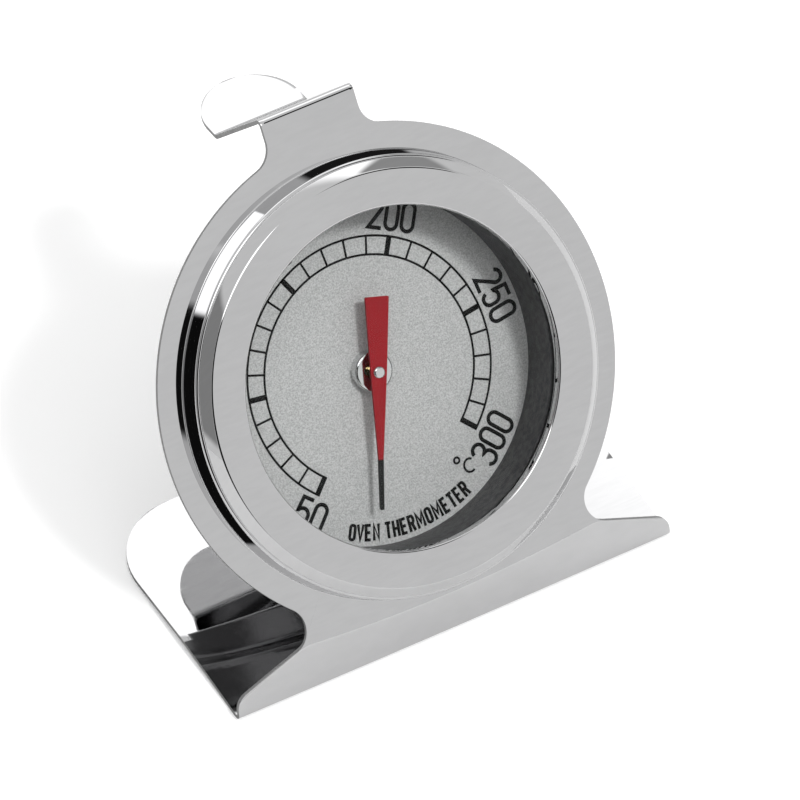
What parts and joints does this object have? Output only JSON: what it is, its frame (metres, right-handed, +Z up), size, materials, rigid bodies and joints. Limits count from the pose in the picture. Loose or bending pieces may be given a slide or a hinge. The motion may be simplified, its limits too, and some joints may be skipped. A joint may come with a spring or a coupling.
{
  "type": "oven thermometer",
  "caption": "Round dial oven thermometer in a bent sheet stand with a flat base, a leaning face plate and a hanging hook; its pointer turns with heat.",
  "frame": {"origin": "centre of the base's flat underside", "axes": "+Z up, +X to the right of someone reading the dial, +Y away from them"},
  "size_m": [0.06, 0.0576, 0.0536],
  "materials": {
    "polished_steel": "mirror-polished stainless steel",
    "case_steel": "drawn, semi-bright",
    "glass": "clear, polished",
    "seal": "matt heat-proof silicone",
    "spacer": "dark satin",
    "dial": "matt light grey with black print",
    "movement_brass": "turned, bright",
    "bush_steel": "nickel plated",
    "bimetal": "rolled strip",
    "pointer_red": "satin red with a black tip"
  },
  "bodies": {
    "case": {"stand": "polished_steel", "bezel_ring": "polished_steel", "case_cup": "case_steel", "lens_glass": "glass", "lens_seal": "seal", "rear_seal": "seal", "spacer_ring": "spacer", "dial_plate": "dial", "front_bush": "bush_steel", "bush_washer": "bush_steel", "movement_frame": "case_steel", "rear_bush": "movement_brass", "bimetal_coil": "bimetal", "anchor_post": "movement_brass", "anchor_rivet": "movement_brass"},
    "pointer_shaft": {"pointer_staff": "bush_steel", "staff_clip": "bush_steel", "coil_hub": "movement_brass", "pointer_boss": "movement_brass", "pointer": "pointer_red"}
  },
  "joints": [
    {"name": "pointer_turn", "type": "hinge", "parent": "case", "child": "pointer_shaft", "pos_m": [0, 0.00207, 0.02722], "axis": [0, 0.7771, -0.6293], "range_deg": [-28.5, 300.5]}
  ]
}
